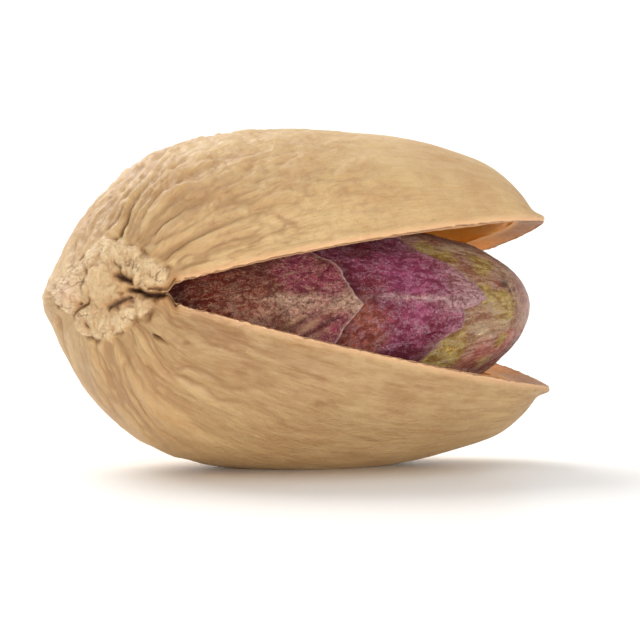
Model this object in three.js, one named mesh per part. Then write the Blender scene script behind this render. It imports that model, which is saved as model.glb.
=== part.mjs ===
// A pistachio in its shell: a bony shell split along one side from the tip, both valves still
// grown together at the stem end, round a seed that lies in the lower valve in two layers of
// thin skin with torn, pointed edges.
//
// Own frame of the nut: +X from stem end to tip, -Y the side that gapes widest, +Z the upper valve.
// Resting frame of the part: the nut rolled onto the flat spot under its lower valve, origin at
// the middle of that spot, +Z up. Millimetres and radians, angles in degrees where named.

import * as THREE from 'three';

// Shell, sizes in mm. The lists run from the stem end to the tip in equal steps of the profile.
const NUT_LENGTH = 20.7;
const HALF_WIDTH = [0, 2.4, 4.4, 5.8, 6.4, 6.35, 5.65, 4.5, 3.05, 1.5, 0];
const UPPER_HEIGHT = [0, 1.2, 3.7, 5.5, 6.1, 5.85, 5.15, 4.2, 2.65, 0.65, 0];
const LOWER_HEIGHT = [0, 1.25, 3.95, 5.8, 6.15, 5.8, 5.0, 3.9, 2.3, 0.6, 0];
const BASE_WALL = 1.0;
const BEAK_SOLID = 1.3;
const HOLLOW_WIDTH_SHARE = 0.87;
const HOLLOW_HEIGHT_SHARE = 0.85;

// Split: each valve turns away from the suture past an oblique hinge line.
const HINGE_NEAR_X = 0.75;
const HINGE_FAR_X = 8.35;
const UPPER_OPENING_DEG = 13.8;
const LOWER_OPENING_DEG = 18.4;
const BEND_LENGTH = 5.6;
const NEAR_SPLIT_X = 3.8;
const FAR_SPLIT_X = 9.4;
const BRIDGE_REACH = 0.15;
const BEAK_LENGTH = 1.5;
const BEAK_LIFT = 0.15;

// Stem scar, on the side of the base that faces the gape.
const SCAR_SWING = 0.62;
const SCAR_ANGLE = 0.345;
const SCAR_OVAL = 0.02;
const SCAR_LOBES = { count: 6, depth: 0.018, phase: 0.8 };
const SCAR_STEP = 0.08;
const SCAR_LUMPS = [
  { height: 0.09, across: 22, round: 27, phase: 1.1 },
  { height: 0.05, across: 37, round: 15, phase: 0.3 },
];
const SCAR_GROOVE = { depth: 0.2, width: 0.03 };
const SCAR_COLLAR = { height: 0.08, offset: 0.12, width: 0.1 };
const SCAR_ISLAND = { height: 0.12, width: 0.11 };
const CRACK = { depth: 0.25, width: 0.035, from: 0.16, to: 0.4, fade: 0.06 };
const SUTURE = { depth: 0.07, width: 0.1, to: 1.3, fade: 0.3 };

// Folds that run from the scar over the base and fade towards the middle of the nut.
const FOLDS = [
  { count: 7, height: 0.03, phase: 2.0, twist: 0.6 },
  { count: 11, height: 0.06, phase: 1.3, twist: 1.5 },
  { count: 16, height: 0.045, phase: 0.4, twist: -1.0 },
];
const FOLD_FADE = { from: 0.5, to: 1.6 };
const SWELL = { height: 0.05, turns: 5, along: 3 };

// Seed and its skins.
const SEED = {
  from: 3.3,
  to: 19.85,
  drop: 0.5,
  halfWidth: [0, 2.6, 3.9, 4.45, 4.65, 4.6, 4.2, 3.55, 2.75, 1.55, 0],
  upper: [0, 1.5, 2.5, 3.1, 3.3, 3.3, 3.15, 2.75, 2.05, 1.0, 0],
  lower: [0, 1.8, 3.0, 3.9, 4.45, 4.55, 4.15, 3.4, 2.4, 1.2, 0],
};
const SKIN_GAP = 0.09;
const SKIN_THICKNESS = 0.18;

// Torn edges of the skins: angle round the seed from the near side, in degrees, and place along X.
const INNER_SKIN_EDGE = [
  [-180, 14.2], [-135, 15.2], [-95, 14.0], [-60, 14.2], [-38, 15.6], [-18, 15.9],
  [3, 17.2], [24, 15.9], [50, 13.9], [90, 14.4], [130, 15.4], [180, 14.2],
];
const OUTER_SKIN_EDGE = [
  [-180, 8.2], [-120, 9.4], [-75, 8.9], [-42, 10.6], [-24, 10.9], [-2, 11.7],
  [22, 11.0], [48, 9.5], [85, 8.6], [130, 9.8], [180, 8.2],
];
const OUTER_SKIN_LIFT = 0.12;
const LIFT_POWER = 4;

// Rest: how the nut lies, and the point of its own rolled frame that the flat spot is centred on.
const ROLL_DEG = 6.4;
const REST_POINT = { x: 10.35, y: 0.0, z: -6.77 };

// Fineness.
const SHELL_STATIONS = 54;
const SHELL_COLUMNS = 32;
const HOLLOW_COLUMNS = 12;
const STATION_BIAS = 1.2;
const SEED_STATIONS = 22;
const SEED_COLUMNS = 32;
const SKIN_STATIONS = 14;

const HAIRLINE = 1e-6;

// Colour and roughness of each piece.
const SHELL_FINISH = { color: 0xd6b382, roughness: 0.62 };
const SEED_FINISH = { color: 0x8f9a45, roughness: 0.55 };
const INNER_SKIN_FINISH = { color: 0x7d4a66, roughness: 0.8 };
const OUTER_SKIN_FINISH = { color: 0x8a5f55, roughness: 0.85 };

const radians = THREE.MathUtils.degToRad;

function smooth(t) {
  const s = Math.min(Math.max(t, 0), 1);
  return s * s * (3 - 2 * s);
}

function bump(distance, width) {
  return Math.exp(-((distance / width) ** 2));
}

// A smooth curve through equally spaced values, odd about both ends so that the poles are round.
function profile(values, t) {
  const last = values.length - 1;
  const place = Math.min(Math.max(t, 0), 1) * last;
  const i = Math.min(Math.floor(place), last - 1);
  const f = place - i;
  const before = i > 0 ? values[i - 1] : -values[1];
  const after = i < last - 1 ? values[i + 2] : -values[last - 1];
  const [a, b] = [values[i], values[i + 1]];
  const bend = 2 * before - 5 * a + 4 * b - after;
  const twist = 3 * (a - b) + after - before;
  return 0.5 * (2 * a + (b - before) * f + bend * f * f + twist * f ** 3);
}

// Straight lines between [angle in degrees, value] pairs.
function edgeAt(edge, angle) {
  const degrees = THREE.MathUtils.radToDeg(angle);
  const next = Math.max(edge.findIndex(([turn]) => turn >= degrees - HAIRLINE), 1);
  const [a, b] = [edge[next - 1], edge[next]];
  return THREE.MathUtils.mapLinear(degrees, a[0], b[0], a[1], b[1]);
}

// Direction on a unit sphere whose near pole is swung to the scar. Angle theta runs from the scar
// to the tip and psi round the nut from the near side over the upper valve.
function direction(theta, psi) {
  const d = new THREE.Vector3(-Math.cos(theta), -Math.sin(theta) * Math.cos(psi),
    Math.sin(theta) * Math.sin(psi));
  const swing = SCAR_SWING * (1 + Math.cos(theta)) / 2;
  return d.applyAxisAngle(new THREE.Vector3(0, 0, 1), swing);
}

// A point of the closed nut, before relief and opening.
function closedPoint(theta, psi) {
  const d = direction(theta, psi);
  const t = Math.acos(THREE.MathUtils.clamp(-d.x, -1, 1)) / Math.PI;
  const round = Math.hypot(d.y, d.z) || 1;
  const height = profile(psi >= 0 ? UPPER_HEIGHT : LOWER_HEIGHT, t);
  return new THREE.Vector3(NUT_LENGTH * Math.sin(Math.PI * t / 2) ** 2,
    profile(HALF_WIDTH, t) * d.y / round, height * d.z / round);
}

// Edge of the scar: an uneven oval, lower on the underside and drawn out towards the split.
function scarEdge(psi) {
  const oval = SCAR_OVAL * (Math.cos(psi) + Math.sin(psi));
  return SCAR_ANGLE + oval + SCAR_LOBES.depth * Math.cos(SCAR_LOBES.count * psi + SCAR_LOBES.phase);
}

// Height of the surface over the smooth closed nut.
function relief(theta, psi) {
  const past = theta - scarEdge(psi);
  const outside = smooth(past / SCAR_STEP);
  const u = theta * Math.cos(psi);
  const v = theta * Math.sin(psi);
  let lumps = 0;
  for (const { height, across, round, phase } of SCAR_LUMPS) {
    lumps += height * Math.sin(across * u + phase) * Math.sin(round * v + phase);
  }
  const scar = (1 - outside) * (lumps + SCAR_ISLAND.height * bump(theta, SCAR_ISLAND.width));
  const border = SCAR_COLLAR.height * bump(past - SCAR_COLLAR.offset, SCAR_COLLAR.width)
    - SCAR_GROOVE.depth * bump(past, SCAR_GROOVE.width);
  const inCrack = smooth((u - CRACK.from) / CRACK.fade) * smooth((CRACK.to - u) / CRACK.fade);
  const crack = CRACK.depth * inCrack * bump(v, CRACK.width);
  const closed = smooth((SUTURE.to - theta) / SUTURE.fade);
  const suture = SUTURE.depth * outside * closed * bump(Math.PI - Math.abs(psi), SUTURE.width);
  const fading = outside * (1 - smooth((theta - FOLD_FADE.from) / (FOLD_FADE.to - FOLD_FADE.from)));
  let folds = 0;
  for (const { count, height, phase, twist } of FOLDS) {
    folds += height * Math.cos(count * psi + phase + twist * theta);
  }
  const swell = SWELL.height * Math.sin(theta) * Math.sin(SWELL.turns * psi + SWELL.along * theta);
  return scar + border - crack - suture + fading * folds + outside * Math.sin(theta) * swell;
}

// Outward direction, taken from a plain ellipsoid of the nut's size.
function outward(point) {
  const [a, b, c] = [NUT_LENGTH / 2, HALF_WIDTH[5], UPPER_HEIGHT[4]];
  return new THREE.Vector3((point.x - a) / a ** 2, point.y / b ** 2, point.z / c ** 2).normalize();
}

// Half the width of the closed nut at a place along it.
function halfWidthAt(x) {
  return profile(HALF_WIDTH, 2 * Math.asin(Math.sqrt(x / NUT_LENGTH)) / Math.PI);
}

const hingeNear = new THREE.Vector2(HINGE_NEAR_X, -halfWidthAt(HINGE_NEAR_X));
const hingeFar = new THREE.Vector2(HINGE_FAR_X, halfWidthAt(HINGE_FAR_X));
const hingeLine = hingeFar.clone().sub(hingeNear).normalize();
const acrossHinge = new THREE.Vector2(hingeLine.y, -hingeLine.x);

// Holds the valves together along a suture that hasn't split: 0 on it, 1 away from it.
function bridge(theta, turn) {
  const side = turn < Math.PI / 2 ? theta * Math.sin(turn) : theta;
  return smooth(side / BRIDGE_REACH);
}

// Turns a point of one valve open about the hinge line, eased in over the bend and as far as its
// freedom from an unsplit suture lets it, and draws out the beak.
function opened(point, valve, freedom) {
  const past = Math.max(0, new THREE.Vector2(point.x, point.y).sub(hingeNear).dot(acrossHinge));
  const rise = past < BEND_LENGTH ? past * past / (2 * BEND_LENGTH) : past - BEND_LENGTH / 2;
  const angle = radians(valve > 0 ? UPPER_OPENING_DEG : LOWER_OPENING_DEG);
  const back = freedom * smooth(past / BEND_LENGTH) * Math.sin(angle) * Math.abs(point.z);
  const beak = Math.max(0, (point.x - NUT_LENGTH + BEAK_LENGTH) / BEAK_LENGTH);
  point.x -= back * acrossHinge.x;
  point.y -= back * acrossHinge.y;
  point.z += valve * (freedom * Math.tan(angle) * rise + BEAK_LIFT * beak * beak);
  return point;
}

// Rolls a point of the nut into the resting frame, and flattens it on the surface.
function settled(point) {
  const p = point.clone();
  p.applyAxisAngle(new THREE.Vector3(1, 0, 0), -radians(ROLL_DEG));
  p.sub(REST_POINT);
  p.z = Math.max(p.z, 0);
  return p;
}

// Collects quads, without the triangles that close up to nothing at the poles.
class Surface {
  constructor() {
    this.numbers = [];
  }

  triangle(a, b, c) {
    const touching = (p, q) => p.distanceTo(q) < HAIRLINE;
    if (touching(a, b) || touching(b, c) || touching(c, a)) return;
    for (const p of [a, b, c]) this.numbers.push(p.x, p.y, p.z);
  }

  quad(a, b, c, d, flipped) {
    const [p, q] = flipped ? [d, b] : [b, d];
    this.triangle(a, p, c);
    this.triangle(a, c, q);
  }

  // A grid of rows that run along the nut, seen from its outer side unless flipped.
  grid(rows, flipped) {
    for (let i = 0; i < rows.length - 1; i += 1) {
      for (let j = 0; j < rows[i].length - 1; j += 1) {
        this.quad(rows[i][j], rows[i + 1][j], rows[i + 1][j + 1], rows[i][j + 1], flipped);
      }
    }
  }

  mesh(name, finish) {
    const geometry = new THREE.BufferGeometry();
    geometry.setAttribute('position', new THREE.Float32BufferAttribute(this.numbers, 3));
    geometry.computeVertexNormals();
    const material = new THREE.MeshStandardMaterial({ ...finish, metalness: 0 });
    const mesh = new THREE.Mesh(geometry, material);
    mesh.name = name;
    return mesh;
  }
}

function stationAngle(i) {
  return Math.PI * (i / SHELL_STATIONS) ** STATION_BIAS;
}

// Rows of points of one valve, outside or in the hollow.
function valveRows(valve, columns, hollow) {
  const rows = [];
  for (let i = 0; i <= SHELL_STATIONS; i += 1) {
    const theta = stationAngle(i);
    const nearClosed = closedPoint(theta, 0).x < NEAR_SPLIT_X;
    const farClosed = closedPoint(theta, Math.PI).x < FAR_SPLIT_X;
    const row = [];
    for (let j = 0; j <= columns; j += 1) {
      const turn = Math.PI * j / columns;
      const point = closedPoint(theta, valve * turn);
      if (j === 0 || j === columns) point.z = 0;
      if (hollow) {
        point.x = BASE_WALL + point.x * (NUT_LENGTH - BASE_WALL - BEAK_SOLID) / NUT_LENGTH;
        point.y *= HOLLOW_WIDTH_SHARE;
        point.z *= HOLLOW_HEIGHT_SHARE;
      } else {
        point.addScaledVector(outward(point), relief(theta, valve * turn));
      }
      const near = nearClosed ? bridge(theta, turn) : 1;
      const far = farClosed ? bridge(theta, Math.PI - turn) : 1;
      row.push(settled(opened(point, valve, near * far)));
    }
    rows.push(row);
  }
  return rows;
}

// The shell: outside and hollow of both valves, joined by the rims of the split.
function makeShell() {
  const surface = new Surface();
  for (const valve of [1, -1]) {
    const outside = valveRows(valve, SHELL_COLUMNS, false);
    const hollow = valveRows(valve, HOLLOW_COLUMNS, true);
    surface.grid(outside, valve < 0);
    surface.grid(hollow, valve > 0);
    for (const [turn, splitX] of [[0, NEAR_SPLIT_X], [Math.PI, FAR_SPLIT_X]]) {
      for (let i = 0; i < SHELL_STATIONS; i += 1) {
        const split = closedPoint(stationAngle(i + 1), turn).x >= splitX;
        if (!split) continue;
        const at = (rows, k) => (turn ? rows[k].at(-1) : rows[k][0]);
        surface.quad(at(outside, i), at(hollow, i), at(hollow, i + 1), at(outside, i + 1),
          (valve > 0) !== (turn === 0));
      }
    }
  }
  return surface.mesh('shell', SHELL_FINISH);
}

// A point on the seed, or standing off it by the thickness of what covers it.
function seedPoint(x, psi, offset) {
  const share = THREE.MathUtils.clamp((x - SEED.from) / (SEED.to - SEED.from), 0, 1);
  const t = 2 * Math.asin(Math.sqrt(share)) / Math.PI;
  const height = profile(Math.sin(psi) >= 0 ? SEED.upper : SEED.lower, t);
  const width = profile(SEED.halfWidth, t);
  const point = new THREE.Vector3(x, -width * Math.cos(psi), height * Math.sin(psi));
  const middle = (SEED.from + SEED.to) / 2;
  const off = new THREE.Vector3((x - middle) / (SEED.to - middle) ** 2,
    point.y / SEED.halfWidth[5] ** 2, point.z / SEED.lower[5] ** 2);
  if (offset) point.addScaledVector(off.normalize(), offset);
  point.z -= SEED.drop;
  return point;
}

// Rows from the stem end of the seed to an edge that may change round it.
function seedRows(edge, offset, stations) {
  const rows = [];
  for (let i = 0; i <= stations; i += 1) {
    const row = [];
    for (let j = 0; j <= SEED_COLUMNS; j += 1) {
      const psi = -Math.PI + 2 * Math.PI * (j % SEED_COLUMNS) / SEED_COLUMNS;
      const reach = (edge(psi) - SEED.from) / (SEED.to - SEED.from);
      const t = 2 * Math.asin(Math.sqrt(reach)) / Math.PI * i / stations;
      const x = SEED.from + (SEED.to - SEED.from) * Math.sin(Math.PI * t / 2) ** 2;
      row.push(settled(seedPoint(x, psi, offset(psi, i / stations))));
    }
    rows.push(row);
  }
  return rows;
}

function makeSeed() {
  const surface = new Surface();
  surface.grid(seedRows(() => SEED.to, () => 0, SEED_STATIONS), false);
  return surface.mesh('kernel', SEED_FINISH);
}

// A thin skin from the stem end of the seed to its torn edge.
function makeSkin(name, finish, edgePoints, base, lift) {
  const surface = new Surface();
  const edge = (psi) => edgeAt(edgePoints, psi);
  const raised = (psi, share) => base + lift * smooth(Math.cos(psi)) * share ** LIFT_POWER;
  const inside = seedRows(edge, raised, SKIN_STATIONS);
  const outside = seedRows(edge, (psi, share) => raised(psi, share) + SKIN_THICKNESS, SKIN_STATIONS);
  surface.grid(outside, false);
  surface.grid(inside, true);
  surface.grid([outside.at(-1), inside.at(-1)], false);
  return surface.mesh(name, finish);
}

const outerSkinBase = 2 * SKIN_GAP + SKIN_THICKNESS;
const group = new THREE.Group();
group.add(makeShell());
group.add(makeSeed());
group.add(makeSkin('seed_coat', INNER_SKIN_FINISH, INNER_SKIN_EDGE, SKIN_GAP, 0));
group.add(makeSkin('seed_coat_flap', OUTER_SKIN_FINISH, OUTER_SKIN_EDGE, outerSkinBase, OUTER_SKIN_LIFT));

export default group;
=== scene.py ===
"""A pistachio in its split shell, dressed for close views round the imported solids."""
import math

import bpy
import numpy as np
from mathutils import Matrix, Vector


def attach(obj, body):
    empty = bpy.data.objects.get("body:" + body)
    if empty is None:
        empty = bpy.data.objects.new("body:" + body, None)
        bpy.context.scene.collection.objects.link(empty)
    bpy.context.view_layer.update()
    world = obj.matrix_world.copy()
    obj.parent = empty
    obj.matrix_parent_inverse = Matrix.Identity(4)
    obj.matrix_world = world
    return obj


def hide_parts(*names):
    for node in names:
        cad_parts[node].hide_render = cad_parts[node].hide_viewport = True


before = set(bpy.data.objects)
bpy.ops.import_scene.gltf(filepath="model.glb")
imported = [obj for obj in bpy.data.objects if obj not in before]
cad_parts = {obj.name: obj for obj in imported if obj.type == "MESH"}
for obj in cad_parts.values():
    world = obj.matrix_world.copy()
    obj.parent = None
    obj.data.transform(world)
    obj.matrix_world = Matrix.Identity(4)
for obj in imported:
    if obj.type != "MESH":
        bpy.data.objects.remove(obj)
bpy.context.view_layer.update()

bl_info = {
    "name": "Pistachio in shell",
    "version": (1, 0, 0),
    "blender": (4, 5, 0),
    "location": "View3D > Sidebar > Pistachio",
    "description": "Builds a gaping pistachio with its seed, seed skins and a plain stage",
    "category": "Object",
}

MM = 0.001

# Shell of the closed nut, in mm: the lists run from the stem end to the tip.
NUT_LENGTH = 20.7
HALF_WIDTH = (0, 2.4, 4.4, 5.8, 6.4, 6.35, 5.65, 4.5, 3.05, 1.5, 0)
UPPER_HEIGHT = (0, 1.2, 3.7, 5.5, 6.1, 5.85, 5.15, 4.2, 2.65, 0.65, 0)
LOWER_HEIGHT = (0, 1.25, 3.95, 5.8, 6.15, 5.8, 5.0, 3.9, 2.3, 0.6, 0)
BASE_WALL = 1.0
BEAK_SOLID = 1.3
HOLLOW_SHARE = ((NUT_LENGTH - BASE_WALL - BEAK_SOLID) / NUT_LENGTH, 0.87, 0.85)
SCAR_SWING = 0.62

# Split and rest.
HINGE_NEAR_X = 0.75
HINGE_FAR_X = 8.35
UPPER_OPENING = math.radians(13.8)
LOWER_OPENING = math.radians(18.4)
BEND_LENGTH = 5.6
NEAR_SPLIT_X = 3.8
FAR_SPLIT_X = 9.4
BRIDGE_REACH = 0.15
SPLIT_RUN = 0.05
SPLIT_FADE = 0.06
CROTCH_UNDERCUT = 0.11
BEAK_LENGTH = 1.5
BEAK_LIFT = 0.15
ROLL = math.radians(6.4)
REST_POINT = np.array((10.35, 0.0, -6.77))

# Edge of the stem scar: its reach every 15 degrees round the nut, from the far side.
SCAR_EDGE = (
    0.408, 0.393, 0.345, 0.383, 0.333, 0.267, 0.226, 0.187, 0.176, 0.166, 0.197, 0.203,
    0.200, 0.288, 0.262, 0.247, 0.268, 0.288, 0.320, 0.380, 0.392, 0.395, 0.437, 0.435,
)
SCAR_WOBBLE = 0.020
SCAR_SOFTNESS = 0.015

# Marks on the scar, in mm on its plane: along the suture and across it, width, depth.
SCAR_CRACKS = (
    (((-0.05, 1.17), (0.30, 0.86), (0.22, 0.66)), 0.05, 0.14),
    (((0.07, 0.66), (0.30, 0.56), (0.56, 0.44)), 0.10, 0.42),
    (((0.58, 0.13), (0.92, 0.07), (1.28, -0.11), (1.83, -0.12), (2.35, -0.04)), 0.10, 0.60),
    (((1.37, 0.13), (1.96, 0.09), (2.40, 0.10)), 0.05, 0.20),
    # This mark is the shadow under the overhang of the scar's island, painted as a cut.
    (((-0.30, -0.51), (0.11, -0.37), (0.60, -0.17)), 0.11, 0.26),
    (((-1.16, -0.07), (-1.27, -0.31), (-1.70, -0.45), (-1.94, -0.59), (-2.20, -0.75)), 0.05, 0.18),
    (((-1.72, -0.31), (-1.68, -0.30)), 0.07, 0.22),
    (((-1.53, -1.08), (-1.45, -1.16)), 0.08, 0.20),
    (((-1.75, 1.30), (-1.45, 1.02), (-1.30, 0.80)), 0.05, 0.10),
)
PINK_LUMP = (-2.24, 0.23)
SCAR_LUMPS = (
    ((0.90, 0.64), 0.26, 0.12), ((1.42, 0.42), 0.24, 0.10), (PINK_LUMP, 0.50, 0.14),
    ((-1.70, -1.15), 0.45, 0.08), ((0.35, -0.75), 0.40, 0.10), ((-0.55, 1.60), 0.50, 0.08),
    ((1.85, 0.45), 0.25, 0.08), ((1.30, -0.42), 0.35, 0.08),
)
ISLAND_CENTRE = (-0.42, 0.22)
ISLAND_REACH = (1.05, 0.72)
ISLAND_TURN = math.radians(-22)

# Grooves that fan out from the scar, as (reach from the scar's middle, turn round the nut).
GROOVES = (
    (((0.30, 1.55), (0.39, 1.54), (0.49, 1.50), (0.60, 1.49)), 0.12, 0.40),
    (((0.43, 1.64), (0.55, 1.62), (0.70, 1.66)), 0.10, 0.06),
    (((0.38, 0.95), (0.45, 0.93), (0.53, 0.85), (0.57, 0.82), (0.68, 0.75), (0.75, 0.73)), 0.11, 0.15),
    (((0.33, 0.80), (0.45, 0.68), (0.58, 0.56)), 0.12, 0.10),
    (((0.28, 0.56), (0.39, 0.51), (0.52, 0.48), (0.63, 0.43), (0.75, 0.42), (0.88, 0.44)), 0.15, 0.15),
    (((0.37, 0.35), (0.53, 0.29), (0.72, 0.26)), 0.16, 0.06),
    (((0.26, -1.62), (0.37, -1.47), (0.44, -1.38), (0.54, -1.27), (0.69, -1.15)), 0.20, 0.16),
    (((0.28, -1.26), (0.39, -1.22), (0.46, -1.06), (0.59, -0.90), (0.72, -0.85)), 0.12, 0.08),
    (((0.31, -1.06), (0.40, -0.96), (0.55, -0.89), (0.71, -0.87), (0.86, -0.86)), 0.10, 0.05),
    (((0.40, -1.97), (0.49, -1.88), (0.61, -1.82), (0.68, -1.68)), 0.14, 0.10),
    (((0.51, -2.12), (0.56, -1.99), (0.68, -1.93)), 0.12, 0.06),
    (((0.28, -0.70), (0.36, -0.61)), 0.07, 0.34),
    (((0.42, -0.44), (0.46, -0.40)), 0.07, 0.14),
    (((0.45, 2.40), (0.60, 2.30), (0.80, 2.25)), 0.16, 0.12),
    (((0.50, -2.70), (0.65, -2.55), (0.85, -2.45)), 0.16, 0.12),
    (((0.46, 2.85), (0.60, 2.80), (0.75, 2.85)), 0.14, 0.09),
)
CRUMB_PATCH = ((0.46, -0.57), 0.75, 0.06)

# Heights of the shell's relief, in mm; the sizes in the panel scale all but the border, swell and dash
# heights.
CRUMB_HEIGHT = 0.15
SMALL_CRUMB_HEIGHT = 0.025
CRUST_SWELL = 0.07
CRUST_GRIT = 0.035
CRUST_LIFT = 0.07
LEDGE_DEPTH = 0.07
BORDER_DEPTH = 0.14
COARSE_FOLD = 0.32
MEDIUM_FOLD = 0.15
THIN_FOLD = 0.06
LUMP_HEIGHT = 0.07
SCALE_HEIGHT = 0.09
SWELL_HEIGHT = 0.075
DASH_HEIGHT = 0.02
CREASE_SOFTNESS = 0.08
CRUMB_SCALE = 2.5
SMALL_CRUMB_SCALE = 6.0

# Lips of the split and beaks, in mm, as shares, or as the reach from the scar where they begin.
LIP_ROUND = 0.10
LIP_WIDTH = 0.16
BEAK_FULLER = 0.13
LOWER_FULLER = 1.6
FULLER_X = 18.5
FULLER_WIDTH = 1.0
FLARE = 0.10
FLARE_X = 20.0
FLARE_WIDTH = 0.35
RIM_RAGGED = 0.045
RAGGED_SCALE = 3.5
RIM_BULGE = 0.05
RIM_SHADE_WIDTH = 0.35
LIP_BEAD = 0.03
LIP_BEAD_AT = 0.22
EDGE_LIFT = 0.10
BEAK_EDGE_LIFT = 0.30
BEAK_EDGE_FROM = 2.1
HOLLOW_TIP_FROM = 2.75
BEAK_FROM = 2.3
FAR_LIP_TO = 2.95

# Seed, in mm, and where its skins end: (turn round the seed in degrees, place along it).
SEED_FROM = 3.3
SEED_TO = 19.85
SEED_TIP_FROM = 17.6
SEED_DROP = 0.5
SEED_HALF_WIDTH = (0, 2.6, 3.9, 4.45, 4.65, 4.6, 4.2, 3.55, 2.75, 1.55, 0)
SEED_UPPER = (0, 1.5, 2.5, 3.1, 3.3, 3.3, 3.15, 2.75, 2.05, 1.0, 0)
SEED_LOWER = (0, 1.8, 3.0, 3.9, 4.45, 4.55, 4.15, 3.4, 2.4, 1.2, 0)
SEED_RELIEF = 0.05
SKIN_RELIEF = 0.03
SKIN_GAP = 0.09
SKIN_THICKNESS = 0.18
SKIN_EDGE = (
    (-180, 14.2), (-135, 15.2), (-95, 14.0), (-60, 14.0), (-40, 13.9), (-33, 14.15), (-30, 14.4),
    (-24, 14.85), (-20, 15.25), (-16, 15.9), (-10, 16.05), (-4.5, 16.0), (-2, 16.65), (2, 17.0),
    (8, 16.95), (16, 16.45), (23, 16.05), (30, 15.5), (34, 15.05), (40, 14.3), (46, 13.9),
    (60, 13.8), (90, 14.4), (130, 15.4), (180, 14.2),
)
FLAP_EDGE = (
    (-180, 8.2), (-120, 9.4), (-75, 8.9), (-45, 9.9), (-30, 10.1), (-18, 10.45), (-10, 10.9),
    (-5, 11.25), (-1, 11.55), (4, 11.3), (9, 11.02), (13.5, 10.96), (20, 10.74), (25, 10.4),
    (28, 10.05), (32, 9.6), (40, 9.3), (55, 9.0), (85, 8.6), (130, 9.8), (180, 8.2),
)
FLAP_LIFT = 0.20
LIFT_POWER = 4
EDGE_RAGGED = 0.09
RAGGED_RING = 9.0
FIBRE_RADIUS = 4.5
FLAP_FOLD = 0.16
SECOND_FOLD = 0.09
FLAP_CURL = 0.12
RIB_HEIGHT = 0.05

# The flap's diagonal fold, and the rib down the middle of each skin with its distance from
# the seed's axis: (place along the seed, turn round it in degrees).
FOLD_ROUTE = ((8.2, -19), (8.98, -13.5), (9.51, -9.4), (10.3, -4.4))
SKIN_RIB = ((7, 4.0), (13, 3.5), (15, 1.5), (17.2, -2.0))
SKIN_RIB_RADIUS = 4.3
FLAP_RIB = ((6, 2.0), (9, 2.7), (10.3, 3.3), (11.5, -1.0))
FLAP_RIB_RADIUS = 4.5

# Spots on the seed and its skins: place along it, turn round it in degrees, width.
KERNEL_GREENS = (
    (14.9, 46, 0.9), (15.6, 42, 0.6), (17.25, 37, 0.6), (17.9, 0, 0.8), (18.3, -7, 0.5),
    (17.3, 7, 0.6), (15.6, -29, 0.9), (15.0, -35, 0.9), (17.9, -36, 0.35), (17.3, -52, 0.5),
    (16.2, 100, 1.4), (17.0, 160, 1.2), (16.0, -110, 1.3), (17.5, -160, 1.0),
)
# These spots are painted dark as the shade of small hollows, which the mesh doesn't sink.
KERNEL_PITS = ((18.12, 21, 0.17), (18.35, 14, 0.10), (18.6, 17, 0.08))
SKIN_BROWNS = ((11.8, -9, 0.8), (12.3, -17, 0.5), (11.3, -20, 0.9))
FLAP_PURPLES = ((9.2, 18, 1.0), (10.3, 13, 0.8), (9.9, -17, 1.1), (10.6, -11, 0.7))

# Numbers that start the seeded noises.
SCAR_NOISES = (3, 11)
FOLD_NOISES = (21, 22, 23)
RIM_NOISE = 41
KERNEL_NOISES = (51, 52)
COAT_NOISES = (61, 62, 63)
FLAP_NOISES = (71, 72, 73)

# Camera: where it looks from and the point that it is aimed at, in mm.
CAMERA_AZIMUTH = math.radians(-14.8)
CAMERA_ELEVATION = math.radians(3.64)
CAMERA_DISTANCE = 170.0
CAMERA_FIELD = 25.6
CAMERA_TARGET = (0.0, 0.0, 6.77)
CAMERA_OFFSET = (0.836, -0.928)
CAMERA_CLIP = (0.01, 10.0)
SENSOR = 36.0

# Light: the way that it comes from, its spread, and where the white behind the nut begins.
KEY_FROM = (-0.27, 0.70, 0.66)
KEY_SPREAD = math.radians(38)
KEY_COLOUR = (1.0, 0.995, 0.985)
CARD_PLACE = (0.02, -0.33, 0.02)
CARD_SIZE = 0.12
SOFTBOX_FROM = (-0.10, 0.45, 0.89)
SOFTBOX_RANGE = (-0.3, 0.9)
BACKDROP_RANGE = (0.80, 0.95)
FLOOR_HALF = 6.0

# Fineness of the meshes.
SHELL_STATIONS = 236
SHELL_COLUMNS = 172
STATION_BIAS = 1.5
COLUMN_BIAS = 0.4
HOLLOW_COLUMNS = 20
RIM_COLUMNS = 5
SEED_STATIONS = 170
SEED_COLUMNS = 250
SKIN_STATIONS = 130
SKIN_COLUMNS = 300
LINING_STATIONS = 18
WELD = 1e-4

# Finish, in metres: depths of the finest bump, and how far light seeps into the shell.
SHELL_BUMP = 0.00006
SKIN_BUMP = 0.00018
SHELL_GLOW = 0.0012

SHELL_MASKS = ("deep", "scar", "island", "pink", "crack", "halo", "groove_brown_and_shade", "lip", "inner", "broad_rim_shade")

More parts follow.
